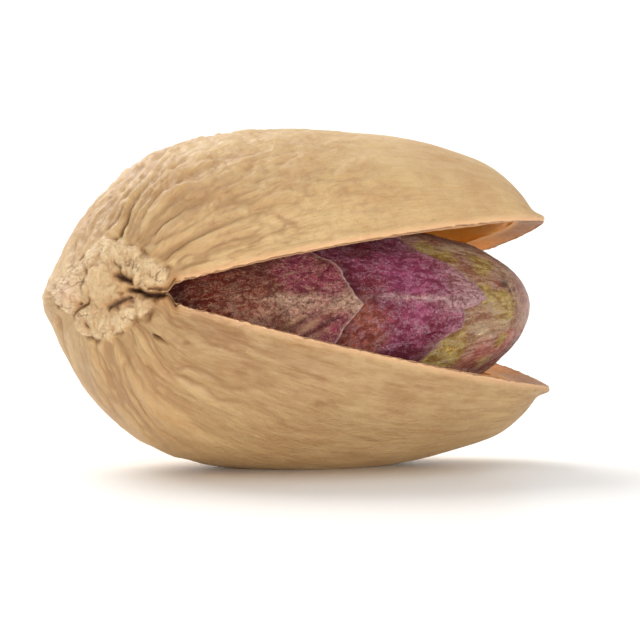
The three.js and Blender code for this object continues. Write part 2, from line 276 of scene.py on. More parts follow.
# What each colour paints, and the colour as the eye sees it, 0 to 255.
COLOURS = {
    "shell_light": ("Tan of the shell", (204, 170, 119)),
    "shell_dark": ("Deeper tan of the shell's clouds", (189, 148, 99)),
    # Painted shade: the next colour darkens the lower valve's front, from the near split down, where
    # less light falls.
    "shell_deep": ("Tint of the deeper tan under the split", (220, 213, 208)),
    # The next colour is the paler broken edge of the lips, painted lighter still as light on rims that
    # face down into shade.
    "shell_pale": ("Pale streaks of the shell", (216, 187, 140)),
    # The next colour is the real brown of the dashes, and painted shade in grooves and between the
    # folds.
    "shell_brown": ("Brown of grooves and dashes", (142, 97, 58)),
    "rim": ("Pinkish cream of the split's lips", (236, 186, 140)),
    # Painted shade: the next colour darkens the broad rims towards the beaks.
    "beak_floor": ("Deeper tan of the beaks' broad rims", (138, 76, 12)),
    # The next colour is the hollow's tan, painted a brighter orange as a glow of light through the
    # thin shell.
    "inner_wall": ("Orange tan of the hollow", (206, 130, 38)),
    "scar": ("Cream of the scar", (232, 206, 164)),
    "scar_dark": ("Deeper cream between the scar's crumbs", (206, 172, 128)),
    "scar_pink": ("Pinkish lump of the scar", (228, 188, 160)),
    "island": ("Smooth middle of the scar", (222, 188, 140)),
    # Painted shade: the next two colours paint the shade beside and inside cracks, slits, hollows and
    # the gaps between crumbs.
    "halo": ("Orange brown beside cracks and between crumbs", (186, 134, 84)),
    "crack": ("Dark brown of cracks and slits", (70, 38, 20)),
    "kernel_green": ("Yellow green of the bare seed", (250, 220, 108)),
    "kernel_dark": ("Olive specks of the bare seed", (206, 152, 66)),
    "film": ("Dusty film over the seed", (250, 212, 160)),
    "film_dark": ("Mauve brown clouds of the film", (189, 98, 67)),
    # Painted shade: the next colour darkens the seed under the shell's lips and in its wrinkles'
    # hollows.
    "film_deep": ("Deep red brown of the film's hollows", (131, 52, 31)),
    # The next colour is the film's pale threads and tip, and a painted highlight on the wrinkles'
    # crests.
    "film_pale": ("Pale pinkish threads of the film", (252, 232, 214)),
    "film_mauve": ("Mauve of the film at the seed's rim", (228, 108, 105)),
    # Painted shade: the next colour darkens the spots of small hollows that the mesh doesn't sink.
    "pit": ("Dark pits of the seed", (70, 46, 36)),
    "skin_plain": ("Mauve of the inner skin", (218, 90, 140)),
    "skin_deep": ("Deep mauve of the inner skin", (160, 40, 74)),
    "skin_purple": ("Purple of the inner skin", (204, 82, 136)),
    # The next colour is the inner skin's lilac threads, and a painted highlight on its wrinkles'
    # crests.
    "skin_vein": ("Lilac threads of the inner skin", (252, 206, 222)),
    "skin_dust": ("Pale dust of the inner skin", (255, 200, 192)),
    "skin_brown": ("Brown patch of the inner skin", (221, 124, 73)),
    # The next colour is painted shade on the inner skin and in its wrinkles' hollows, with the dark
    # specks of its grain.
    "skin_dark": ("Dark maroon hollows of the inner skin", (108, 10, 28)),
    "skin_edge": ("Pale torn edge of both skins", (250, 208, 192)),
    "flap_plain": ("Brown of the outer skin", (190, 68, 28)),
    "flap_deep": ("Maroon of the outer skin", (144, 40, 16)),
    "flap_purple": ("Purple of the outer skin", (176, 50, 92)),
    # The next colour is the outer skin's beige threads, and a painted highlight on its wrinkles'
    # crests.
    "flap_vein": ("Beige threads of the outer skin", (248, 202, 168)),
    "flap_dust": ("Dusty beige of the outer skin", (255, 208, 178)),
    # The next colour darkens the outer skin towards its stem end and away from its rib, and is painted
    # shade under the fold and in the wrinkles' hollows.
    "flap_dark": ("Dark maroon hollows of the outer skin", (84, 14, 10)),
    # Painted highlight: the next colour lights the ridges of the outer skin's fold.
    "flap_fold": ("Pale fold of the outer skin", (250, 200, 152)),
    "floor": ("White of the floor", (250, 249, 247)),
    "floor_warm": ("Warmer white of the floor's clouds", (248, 246, 242)),
}


def smooth(t):
    s = np.clip(t, 0, 1)
    return s * s * (3 - 2 * s)


def hump(distance, width):
    return np.exp(-((distance / width) ** 2))


def gap_to(points, spot):
    return np.linalg.norm(points - spot, axis=-1)


def stacked(*parts):
    return np.stack(np.broadcast_arrays(*parts), axis=-1)


def profile(values, t):
    """A smooth curve through equally spaced values, odd about both ends."""
    v = np.array((-values[1], *values, -values[-2]), float)
    last = len(values) - 1
    place = np.clip(t, 0, 1) * last
    i = np.minimum(place.astype(int), last - 1)
    f = place - i
    before, a, b, after = v[i], v[i + 1], v[i + 2], v[i + 3]
    bend = 2 * before - 5 * a + 4 * b - after
    twist = 3 * (a - b) + after - before
    return 0.5 * (2 * a + (b - before) * f + bend * f ** 2 + twist * f ** 3)


class Noise:
    """Seeded gradient noise in space, between about -1 and 1."""

    def __init__(self, seed):
        draw = np.random.default_rng(seed)
        self.order = np.tile(draw.permutation(256), 3)
        slopes = draw.normal(size=(256, 3))
        self.slopes = slopes / np.linalg.norm(slopes, axis=1, keepdims=True)
        self.spots = draw.random((256, 3))

    def lot(self, cell):
        c = cell & 255
        return self.order[self.order[self.order[c[..., 0]] + c[..., 1]] + c[..., 2]]

    def __call__(self, points):
        cell = np.floor(points).astype(int)
        f = points - cell
        ease = f * f * f * (f * (f * 6 - 15) + 10)
        total = 0.0
        for corner in np.ndindex(2, 2, 2):
            slope = self.slopes[self.lot(cell + corner)]
            weight = np.where(corner, ease, 1 - ease).prod(axis=-1)
            total = total + weight * (slope * (f - corner)).sum(axis=-1)
        return total * 1.6

    def layers(self, points, count, gain=0.5):
        """Several layers, each twice as fine as the last."""
        total, weight = 0.0, 1.0
        for level in range(count):
            total = total + weight * self(points * 2 ** level + 17.3 * level)
            weight *= gain
        return total

    def grains(self, points):
        """Distances to the nearest and the second nearest of one seed in each cell."""
        cell = np.floor(points).astype(int)
        nearest = np.full(points.shape[:-1], 9.0)
        second = nearest.copy()
        for step in np.ndindex(3, 3, 3):
            there = cell + np.array(step) - 1
            gap = gap_to(there + self.spots[self.lot(there)], points)
            second = np.minimum(second, np.maximum(nearest, gap))
            nearest = np.minimum(nearest, gap)
        return nearest, second


def line_distance(points, corners):
    """Distance from each point to a chain of straight stretches, and how far along it is."""
    corners = np.asarray(corners, float)
    best = np.full(points.shape[:-1], 1e9)
    along = np.zeros(points.shape[:-1])
    for k, (a, b) in enumerate(zip(corners[:-1], corners[1:])):
        run = b - a
        t = np.clip(((points - a) @ run) / (run @ run), 0, 1)
        gap = np.linalg.norm(points - a - t[..., None] * run, axis=-1)
        along = np.where(gap < best, (k + t) / (len(corners) - 1), along)
        best = np.minimum(best, gap)
    return best, along


def closed_point(theta, psi):
    """A point of the closed nut. theta runs from the scar to the tip, psi round the nut."""
    dx, dy, dz = -np.cos(theta), -np.sin(theta) * np.cos(psi), np.sin(theta) * np.sin(psi)
    swing = SCAR_SWING * (1 + np.cos(theta)) / 2
    dx, dy = dx * np.cos(swing) - dy * np.sin(swing), dx * np.sin(swing) + dy * np.cos(swing)
    t = np.arccos(np.clip(-dx, -1, 1)) / np.pi
    around = np.hypot(dy, dz)
    around = np.where(around < 1e-12, 1, around)
    height = np.where(psi >= 0, profile(UPPER_HEIGHT, t), profile(LOWER_HEIGHT, t))
    return stacked(NUT_LENGTH * np.sin(np.pi * t / 2) ** 2,
                   profile(HALF_WIDTH, t) * dy / around, height * dz / around)


def outward(point):
    reach = np.array((NUT_LENGTH / 2, HALF_WIDTH[5], UPPER_HEIGHT[4]))
    n = (point - (NUT_LENGTH / 2, 0, 0)) / reach ** 2
    return n / np.linalg.norm(n, axis=-1, keepdims=True)


def half_width_at(x):
    return profile(HALF_WIDTH, 2 * np.arcsin(np.sqrt(x / NUT_LENGTH)) / np.pi)


HINGE_NEAR = np.array((HINGE_NEAR_X, -half_width_at(HINGE_NEAR_X)))
HINGE_FAR = np.array((HINGE_FAR_X, half_width_at(HINGE_FAR_X)))
HINGE = (HINGE_FAR - HINGE_NEAR) / np.linalg.norm(HINGE_FAR - HINGE_NEAR)
ACROSS_HINGE = np.array((HINGE[1], -HINGE[0]))


def opened(point, valve, freedom):
    """Turns points of one valve open about the oblique hinge line."""
    past = np.maximum(0, (point[..., :2] - HINGE_NEAR) @ ACROSS_HINGE)
    rise = np.where(past < BEND_LENGTH, past ** 2 / (2 * BEND_LENGTH), past - BEND_LENGTH / 2)
    angle = UPPER_OPENING if valve > 0 else LOWER_OPENING
    back = freedom * smooth(past / BEND_LENGTH) * math.sin(angle) * np.abs(point[..., 2])
    beak = np.maximum(0, (point[..., 0] - NUT_LENGTH + BEAK_LENGTH) / BEAK_LENGTH)
    lift = valve * (freedom * math.tan(angle) * rise + BEAK_LIFT * beak ** 2)
    return stacked(point[..., 0] - back * ACROSS_HINGE[0], point[..., 1] - back * ACROSS_HINGE[1],
                   point[..., 2] + lift)


def settled(point):
    """Rolls points of the nut onto the surface that it rests on."""
    c, s = math.cos(ROLL), math.sin(ROLL)
    x, y, z = point[..., 0], point[..., 1], point[..., 2]
    rolled = stacked(x, y * c + z * s, z * c - y * s) - REST_POINT
    rolled[..., 2] = np.maximum(rolled[..., 2], 0)
    return rolled


def flow(theta, psi):
    """Turn round the nut that the folds keep as they run from the scar towards the tip."""
    return psi + 0.35 * smooth((theta - 0.3) / 0.6) * np.sin(psi)


def scar_plane(point):
    """Places on the plane of the scar, in mm along the suture and across it."""
    middle = closed_point(0.0, 0.0)
    off = outward(middle)
    along = np.array((-off[1], off[0], 0.0))
    return stacked((point - middle) @ along, (point - middle)[..., 2])


def scar_edge(psi):
    place = (psi / (2 * np.pi) + 0.5) * len(SCAR_EDGE)
    i = np.floor(place).astype(int)
    f = smooth(place - i)
    edge = np.array(SCAR_EDGE)
    return edge[i % len(edge)] * (1 - f) + edge[(i + 1) % len(edge)] * f


class ShellSurface:
    """Relief of the outside of the shell and the masks that its finish is painted by."""

    def __init__(self, theta, psi, sizes):
        self.theta, self.psi = theta, psi
        self.place = closed_point(theta, psi)
        turn = flow(theta, psi)
        self.fibres = stacked(np.cos(turn), np.sin(turn), theta)
        self.height = np.zeros_like(theta)
        self.masks = {name: np.zeros_like(theta) for name in ("crack", "halo", "groove_brown_and_shade")}
        self.scar_relief(sizes.scar_height / MM)
        self.fold_relief(sizes.fold_height / MM)

    def mark(self, name, value):
        self.masks[name] = np.maximum(self.masks[name], value)

    def scar_relief(self, size):
        fine, spread = (Noise(number) for number in SCAR_NOISES)
        place, spot = self.place, scar_plane(self.place)
        self.past = self.theta - scar_edge(self.psi) - SCAR_WOBBLE * spread.layers(place * 2.6, 3)
        scar = smooth(-self.past / SCAR_SOFTNESS)
        turn = np.array(((math.cos(ISLAND_TURN), -math.sin(ISLAND_TURN)),
                         (math.sin(ISLAND_TURN), math.cos(ISLAND_TURN))))
        reach = (spot - ISLAND_CENTRE) @ turn / ISLAND_REACH
        radius = np.hypot(reach[..., 0], reach[..., 1]) + 0.22 * spread.layers(place * 2, 2)
        island = scar * smooth((1.15 - radius) / 0.3)
        crust = scar * (1 - 0.85 * island)
        bent = place + 0.16 * stacked(spread.layers(place * 3, 3), fine.layers(place * 3.3, 3), 0.0)
        coarse, coarse_next = fine.grains(bent * CRUMB_SCALE)
        small, small_next = fine.grains(bent * SMALL_CRUMB_SCALE)
        crumbs = CRUMB_HEIGHT * (0.62 - coarse) + SMALL_CRUMB_HEIGHT * (0.6 - small)
        crumbs += CRUST_SWELL * spread.layers(place * 1.4, 2)
        crumbs += CRUST_GRIT * spread.layers(place * 9, 2)
        self.height += size * (crust * crumbs + CRUST_LIFT * scar)
        # Painted shade: dark specks and orange brown shade in the gaps between the crust's crumbs.
        pores = smooth(1 - (coarse_next - coarse) / 0.12) * smooth(0.5 + 2.2 * spread(place * 2.7))
        self.mark("crack", 0.6 * crust * pores * smooth(3 * fine(place * 1.1)))
        small_pores = 0.7 * smooth(1 - (small_next - small) / 0.2) * smooth(3.0 * fine(place * 2.1))
        self.mark("halo", 0.75 * crust * np.maximum(pores, small_pores))
        swell = spread.layers(bent * (1.1, 1.9, 1.9), 3)
        creased = np.abs(fine(bent * (1.0, 2.2, 2.2)))
        self.height += size * island * (0.15 + 0.05 * swell + 0.10 * creased)
        # Painted shade in the island's creases.
        self.mark("halo", island * smooth(1 - creased / 0.15) * 0.35)
        ledge = scar * hump(radius - 1.12, 0.12) * smooth(0.6 + 1.4 * spread(place * 1.3))
        self.height -= size * LEDGE_DEPTH * ledge
        # Painted shade along the sunken ledge round the island.
        self.mark("halo", 0.5 * ledge)
        for middle, width, lift in SCAR_LUMPS:
            self.height += scar * lift * hump(gap_to(spot, middle), width)
        swirl = np.abs(fine(place * 2.4 + 0.5 * spread.layers(place * 2.5, 2)[..., None]))
        pink = scar * hump(gap_to(spot, PINK_LUMP), 0.55)
        self.height += 0.10 * pink * swirl
        close = self.theta < 0.7
        rough = 1 + 0.5 * spread.layers(place * 4.5, 2)
        # Each mark is painted with its shade: dark in the cut, orange brown beside it.
        for corners, width, depth in SCAR_CRACKS:
            gap, along = line_distance(spot, corners)
            gap = np.where(close, gap * rough, 9.0)
            taper = 0.55 + 0.45 * np.sin(np.pi * np.clip(along, 0.08, 0.92))
            cut = hump(gap, width * taper)
            self.height -= depth * (0.75 * cut + 0.25 * hump(gap, 2.6 * width))
            self.mark("crack", cut * min(1.0, depth / 0.3))
            self.mark("halo", hump(gap, 2.4 * width + 0.05) * min(1.0, depth / 0.2))
        # Painted shade along the scar's sunken border.
        border = hump(self.past, 0.014) * smooth(0.45 + 1.5 * spread(place * 1.9))
        self.height -= BORDER_DEPTH * border
        self.mark("halo", 0.85 * border)
        self.mark("crack", 0.5 * border)
        self.masks.update(scar=scar, island=island, pink=pink)

    def fold_relief(self, size):
        broad, fine, wrinkle = noises = [Noise(number) for number in FOLD_NOISES]
        place, theta, fibres = self.place, self.theta, self.fibres
        outside = smooth(self.past / 0.03)
        near = 1 - smooth((theta - 0.45) / 0.9)
        middle = smooth((theta - 0.35) / 0.3) * (1 - smooth((theta - 1.2) / 0.9))
        upper = smooth(0.5 + 1.2 * np.sin(self.psi))
        facing = 1 - 0.75 * smooth((np.abs(self.psi) - 1.9) / 0.7)
        warp = stacked(*(noise.layers(place * 0.55, 3) for noise in noises))

        def creases(noise, across, along, bend):
            wave = noise(fibres * (across, across, along) + bend * warp)
            return np.sqrt(wave ** 2 + CREASE_SOFTNESS ** 2) - CREASE_SOFTNESS

        coarse = creases(broad, 4.6, 1.3, 0.35)
        medium = creases(fine, 10.0, 3.2, 0.75)
        thin = creases(wrinkle, 21.0, 8.0, 1.2)
        folds = COARSE_FOLD * near * (0.25 + 0.75 * facing) * coarse
        folds += MEDIUM_FOLD * (near + 0.4 * middle * upper) * (0.5 + 0.5 * upper) * facing * medium
        folds += THIN_FOLD * (near + middle) * (0.25 + 0.75 * upper) * facing * thin
        lumps = broad(place * 1.0) + 0.6 * fine(place * 2.1)
        folds += LUMP_HEIGHT * middle * (0.25 + 0.75 * upper) * facing * lumps
        scales = np.abs(wrinkle(place * (1.5, 2.0, 2.0) + 0.9 * warp))
        folds += SCALE_HEIGHT * middle * (0.2 + 0.8 * upper) * facing * scales
        self.height += outside * size * (folds - 0.10 * near)
        # Painted shade down between the folds, laid into the mask for grooves.
        valley_shade = near * smooth(1 - coarse / 0.16)
        valley_shade += 0.4 * (0.8 * near + middle * upper) * smooth(1 - medium / 0.10)
        valley_shade += 0.35 * middle * upper * smooth(1 - scales / 0.14)
        self.mark("groove_brown_and_shade", outside * facing * np.clip(valley_shade, 0, 1) * 0.8)
        swell = broad(fibres * (2.3, 2.3, 1.4)) + 0.5 * fine(fibres * (4.5, 4.5, 2.2))
        self.height += outside * SWELL_HEIGHT * np.sin(theta) ** 2 * swell
        dashes = creases(fine, 20.0, 3.0, 0.6)
        self.height += outside * DASH_HEIGHT * np.sin(theta) * (np.minimum(dashes, 0.3) - 0.2)
        # The grooves from the scar are painted with their brown and with their shade.
        for corners, width, depth in GROOVES:
            ways = np.array(corners)
            gap, along = line_distance(place, closed_point(ways[:, 0], ways[:, 1]))
            gap = gap * (1 + 0.35 * wrinkle.layers(place * 2.5, 2))
            cut = hump(gap, width) * np.clip(1.25 - along, 0.25, 1) * outside
            self.height -= depth * cut
            self.mark("groove_brown_and_shade", cut * min(1.0, depth / 0.14))
            # Painted shade in the deepest grooves.
            self.mark("crack", cut ** 2 * np.clip(depth - 0.2, 0, 0.12) * 5)
        middle_of_patch, width, lift = CRUMB_PATCH
        patch = hump(gap_to(place, closed_point(*middle_of_patch)), width)
        rubble, _ = fine.grains(place * 4.0)
        self.height += patch * lift * 2 * (0.7 - rubble)
        # Painted shade in the gaps of the rubbly patch.
        self.mark("groove_brown_and_shade", 0.5 * patch * smooth(rubble - 0.45))
        from_far = np.pi - np.abs(self.psi)
        self.height += 0.10 * hump(from_far, 0.4) * hump(theta - 0.5, 0.2)
        self.height -= 0.02 * (hump(from_far, 0.05) * smooth((1.3 - theta) / 0.3) * outside)


def split_theta(turn, place):
    """Reach from the scar at which a suture passes a place along the nut."""
    theta = np.linspace(0, np.pi, 2000)
    return float(np.interp(place, closed_point(theta, np.full_like(theta, turn))[:, 0], theta))


NEAR_SPLIT = split_theta(0.0, NEAR_SPLIT_X)
FAR_SPLIT = split_theta(np.pi, FAR_SPLIT_X)


def sutures(turn):
    """The turn from each suture, and the reach from the scar at which that one splits."""
    return (turn, NEAR_SPLIT), (np.pi - turn, FAR_SPLIT)


def valve_freedom(theta, turn):
    """How far each point of a valve is free of a suture that hasn't split."""
    free = 1.0
    for side, split in sutures(turn):
        begun = smooth((theta - split + SPLIT_RUN / 2) / SPLIT_RUN)
        bridge = smooth(np.where(side < np.pi / 2, theta * np.sin(side), theta) / BRIDGE_REACH)
        free = free * (bridge * (1 - begun) + begun)
    return free


def crotch_shift(theta, turn):
    """How far the hollow reaches back under the ends of the split, so that they come to an edge."""
    return sum(CROTCH_UNDERCUT * hump(theta - split, 0.3) * hump(side, 0.6)
               for side, split in sutures(turn))


class Patchwork:
    """Grids of points that are joined into one closed mesh, with values kept at each point."""

    def __init__(self):
        self.points, self.quads, self.values = [], [], {}
        self.count = 0

    def grid(self, rows, flipped, values):
        stations, columns = rows.shape[:2]
        self.points.append(rows.reshape(-1, 3))
        number = self.count + np.arange(stations * columns).reshape(stations, columns)
        ring = (number[:-1, :-1], number[1:, :-1], number[1:, 1:], number[:-1, 1:])
        quads = np.stack(ring[::-1] if flipped else ring, axis=-1).reshape(-1, 4)
        self.quads.append(quads)
        for name, value in values.items():
            width = 3 if name == "fibres" else 1
            value = np.broadcast_to(value, rows.shape[:2] + ((3,) if width == 3 else ()))
            self.values.setdefault(name, []).append(value.reshape(-1, width))
        self.count += stations * columns

    def piece(self, name):
        """Welds the grids along their shared edges into an object, in metres."""
        points = np.concatenate(self.points)
        key = np.round(points / WELD).astype(np.int64)
        _, first, same = np.unique(key, axis=0, return_index=True, return_inverse=True)
        corners = same.reshape(-1)[np.concatenate(self.quads)]
        faces = [list(dict.fromkeys(ring)) for ring in corners.tolist()]
        faces = [ring for ring in faces if len(ring) > 2]
        mesh = bpy.data.meshes.new(name)
        mesh.from_pydata((points[first] * MM).tolist(), [], faces)
        for value_name, chunks in self.values.items():
            value = np.concatenate(chunks)[first]
            kind = "FLOAT_VECTOR" if value.shape[1] == 3 else "FLOAT"
            layer = mesh.attributes.new(value_name, kind, "POINT")
            layer.data.foreach_set("vector" if kind == "FLOAT_VECTOR" else "value",
                                   value.astype(np.float32).ravel())
        mesh.polygons.foreach_set("use_smooth", [True] * len(mesh.polygons))
        mesh.update()
        return placed(name, mesh)


def placed(name, data, location=(0, 0, 0), way=None, axis="Z"):
    """Adds an object to the scene, with one of its axes turned along a way."""
    obj = bpy.data.objects.new(name, data)
    obj.location = location
    if way is not None:
        obj.rotation_euler = Vector(way).to_track_quat(axis, "Y").to_euler()
    bpy.context.scene.collection.objects.link(obj)
    return obj


def valve_outside(theta, turn, valve, sizes):
    """Places of one valve's outside, and the values that its finish is painted by."""
    surface = ShellSurface(theta, valve * turn, sizes)
    base = surface.place.copy()
    base[:, (0, -1), 2] = 0
    along, edge = base[..., 0], np.abs(base[..., 2])
    past_near = smooth((theta - NEAR_SPLIT) / SPLIT_FADE)
    past_far = smooth((theta - FAR_SPLIT) / SPLIT_FADE)
    split = np.where(turn < np.pi / 2, past_near, past_far)
    height = surface.height - LIP_ROUND * split * hump(edge, 0.10)
    fuller = BEAK_FULLER * (1 if valve > 0 else LOWER_FULLER) * hump(along - FULLER_X, FULLER_WIDTH)
    height += (fuller - FLARE * hump(along - FLARE_X, FLARE_WIDTH)) * smooth(edge / 0.5)
    height += LIP_BEAD * split * hump(edge - LIP_BEAD_AT, 0.14)
    points = base + outward(base) * height[..., None]
    # deep: painted shade on the lower valve's front, darkest by the near split and fading towards the
    # belly.
    deep = smooth(0.5 - 4 * valve * turn) * smooth((1.25 - turn) / 0.8)
    # lip: the paler broken edge, painted lighter still as light on a band that sits in shade.
    values = dict(surface.masks, fibres=surface.fibres, deep=deep, lip=split * hump(edge, LIP_WIDTH))
    return settled(opened(points, valve, valve_freedom(theta, turn))), values


def valve_hollow(theta, turn, valve):
    """Places of one valve's hollow, which rises to thin the lips and the beak."""
    base = closed_point(np.maximum(theta - crotch_shift(theta, turn), 0), valve * turn)
    base[:, (0, -1), 2] = 0
    base = base * HOLLOW_SHARE + (BASE_WALL, 0, 0)
    tip = smooth((theta - HOLLOW_TIP_FROM) / 0.38)
    for side, split in sutures(turn):
        begun = smooth((theta - split) / 0.1)
        lift = begun * (EDGE_LIFT + BEAK_EDGE_LIFT * smooth((theta - BEAK_EDGE_FROM) / 0.5))
        base[..., 2] += valve * lift * (hump(side, 0.4) * (1 - tip) + 0.5 * tip)
    return settled(opened(base, valve, valve_freedom(theta, turn)))


def rim_strip(lip, wall, theta, valve, far, noise):
    """Roughens one lip of the split, and spans the rim from it to the wall of the hollow."""
    run = theta - theta[0]
    jag = RIM_RAGGED * noise.layers(lip * RAGGED_SCALE, 4)
    jag *= smooth(run / 0.04) * (1 + 1.6 * hump(run - 0.12, 0.16)) * smooth((np.pi - theta) / 0.35)
    lip[:, 2] -= valve * jag
    blend = np.linspace(0, 1, RIM_COLUMNS + 1)[None, :]
    strip = lip[:, None] * (1 - blend[..., None]) + wall[:, None] * blend[..., None]
    bulge = RIM_BULGE * smooth(run / 0.08)
    strip[..., 2] -= valve * bulge[:, None] * 4 * blend * (1 - blend)
    strip[:, 0], strip[:, -1] = lip, wall
    width = gap_to(lip, wall)[:, None]
    inner = smooth(1 - (1 - blend) * width / RIM_SHADE_WIDTH)
    # Painted shade on the broad rim strips towards the beaks, which face away from the light.
    broad_rim_shade = smooth((theta[:, None] - BEAK_FROM) / 0.4) * smooth((width - 0.45) / 0.6) * (1 - inner)
    # The far lip takes the hollow's colour with its painted glow.
    if far:
        from_lip = smooth((blend * width - 0.05) / RIM_SHADE_WIDTH)
        inner = np.maximum(inner, from_lip * smooth((FAR_LIP_TO - theta[:, None]) / 0.35))
    # lip: the rim strip's paler broken edge, with painted light.
    return strip, {"inner": inner, "lip": (1 - inner) * (1 - broad_rim_shade), "broad_rim_shade": broad_rim_shade}


def build_shell(sizes):
    """Outside, hollow and rims of both valves as one closed mesh."""
    work = Patchwork()
    angles = np.pi * (np.arange(SHELL_STATIONS + 1) / SHELL_STATIONS) ** STATION_BIAS
    rim_noise = Noise(RIM_NOISE)
    even = np.linspace(0, 1, SHELL_COLUMNS + 1)
    outer_turns = np.pi * (even - COLUMN_BIAS * np.sin(2 * np.pi * even) / (2 * np.pi))
    outer_turns[-1] = np.pi
    outer = np.meshgrid(angles, outer_turns, indexing="ij")
    theta, turn = np.meshgrid(angles, np.linspace(0, np.pi, HOLLOW_COLUMNS + 1), indexing="ij")
    plain = dict.fromkeys(SHELL_MASKS, 0.0)
    for valve in (1, -1):
        outside, values = valve_outside(*outer, valve, sizes)
        hollow = valve_hollow(theta, turn, valve)
        for column, split in ((0, NEAR_SPLIT), (-1, FAR_SPLIT)):
            start = int(np.argmax(angles > split - SPLIT_RUN / 2)) - 1
            strip, masks = rim_strip(outside[start:, column], hollow[start:, column],
                                     angles[start:], valve, column == -1, rim_noise)
            fibres = values["fibres"][start:, column, None]
            work.grid(strip, (valve > 0) != (column == 0), dict(plain, **masks, fibres=fibres))
        work.grid(outside, valve < 0, dict(plain, **values))
        fibres = stacked(np.cos(turn), valve * np.sin(turn), theta)
        work.grid(hollow, valve > 0, dict(plain, inner=1.0, fibres=fibres))
    return work.piece("pistachio_shell")


def seed_point(x, psi, offset=0.0):
    """A point on the seed, or standing off it by the thickness of what covers it."""
    share = np.clip((x - SEED_FROM) / (SEED_TO - SEED_FROM), 0, 1)
    t = 2 * np.arcsin(np.sqrt(share)) / np.pi
    height = np.where(np.sin(psi) >= 0, profile(SEED_UPPER, t), profile(SEED_LOWER, t))
    point = stacked(x, -profile(SEED_HALF_WIDTH, t) * np.cos(psi), height * np.sin(psi))
    middle = (SEED_FROM + SEED_TO) / 2
    reach = np.array((SEED_TO - middle, SEED_HALF_WIDTH[5], SEED_LOWER[5]))
    off = (point - (middle, 0, 0)) / reach ** 2
    off /= np.linalg.norm(off, axis=-1, keepdims=True)
    return point + off * np.asarray(offset)[..., None] - (0, 0, SEED_DROP)


def seed_grid(edge, stations, columns):
    """Places along the seed and turns round it, from its stem end to an edge that may vary."""
    psi = np.linspace(-np.pi, np.pi, columns + 1)
    share = (np.broadcast_to(edge, psi.shape) - SEED_FROM) / (SEED_TO - SEED_FROM)
    last = 2 * np.arcsin(np.sqrt(share)) / np.pi
    t = np.linspace(0, 1, stations + 1)[:, None] * last[None, :]
    x = SEED_FROM + (SEED_TO - SEED_FROM) * np.sin(np.pi * t / 2) ** 2
    return x, np.broadcast_to(psi, x.shape)


def closed_round(rows):
    rows[:, -1] = rows[:, 0]
    return rows


def round_fibres(x, psi):
    """Places for texture that run along the seed and close up gently at its tip."""
    near_tip = 1 - 0.9 * smooth((x - SEED_TIP_FROM) / (SEED_TO - SEED_TIP_FROM)) ** 2
    return stacked(near_tip * np.cos(psi), near_tip * np.sin(psi), x / FIBRE_RADIUS)


def near_spots(base, spots):
    """How close each point is to any of some spots: (place along, turn in degrees, width)."""
    closeness = np.zeros(base.shape[:-1])
    for place, degrees, width in spots:
        gap = gap_to(base, seed_point(place, math.radians(degrees)))
        closeness = np.maximum(closeness, hump(gap, width))
    return closeness


def build_kernel(sizes):
    work = Patchwork()
    x, psi = seed_grid(SEED_TO, SEED_STATIONS, SEED_COLUMNS)
    base = seed_point(x, psi)
    broad, fine = (Noise(number) for number in KERNEL_NOISES)
    fade = smooth((SEED_TO - x) / 0.8) * smooth((x - SEED_FROM) / 0.8)
    relief = 0.05 * broad.layers(base * 0.9, 2) + 0.03 * np.abs(fine(base * 2.6))
    relief += 0.012 * fine.layers(base * 6, 2)
    relief *= sizes.seed_relief / MM / SEED_RELIEF * fade
    points = closed_round(settled(seed_point(x, psi, relief)))
    cloud = fine.layers(base * 1.5, 3)
    degrees = np.degrees(psi)
    mauve = smooth((-24 - degrees) / 14 + 0.6 * cloud) * smooth((x - 15.5) / 1.5)
    mauve = np.maximum(mauve, smooth((x - 18.6) / 0.9 + 0.5 * cloud) * 0.8)
    mauve = np.maximum(mauve, smooth((15.6 - x) / 1.5 + 0.5 * cloud) * 0.7)
    # Painted shade: the seed darker above and below, where the shell's lips overhang it.
    dark = smooth((-42 - degrees) / 12 + 0.5 * cloud) * (np.abs(degrees) < 120)
    dark = np.maximum(dark, 0.8 * smooth((degrees - 50) / 14 + 0.5 * cloud) * (degrees < 120))
    work.grid(points, False, {
        "green": smooth((near_spots(base, KERNEL_GREENS) + 0.45 * cloud - 0.30) / 0.45),
        "pit_shade": near_spots(base, KERNEL_PITS), "dark": dark, "mauve": mauve,
        "tip": smooth((x - 18.4) / 1.2 + 0.3 * cloud) * 0.8, "fibres": round_fibres(x, psi)})
    return work.piece("pistachio_kernel")


def followed(line, place):
    """The second value of a line's points, read off at places between their first values."""
    places, values = np.array(line, float).T
    return np.interp(place, places, values)


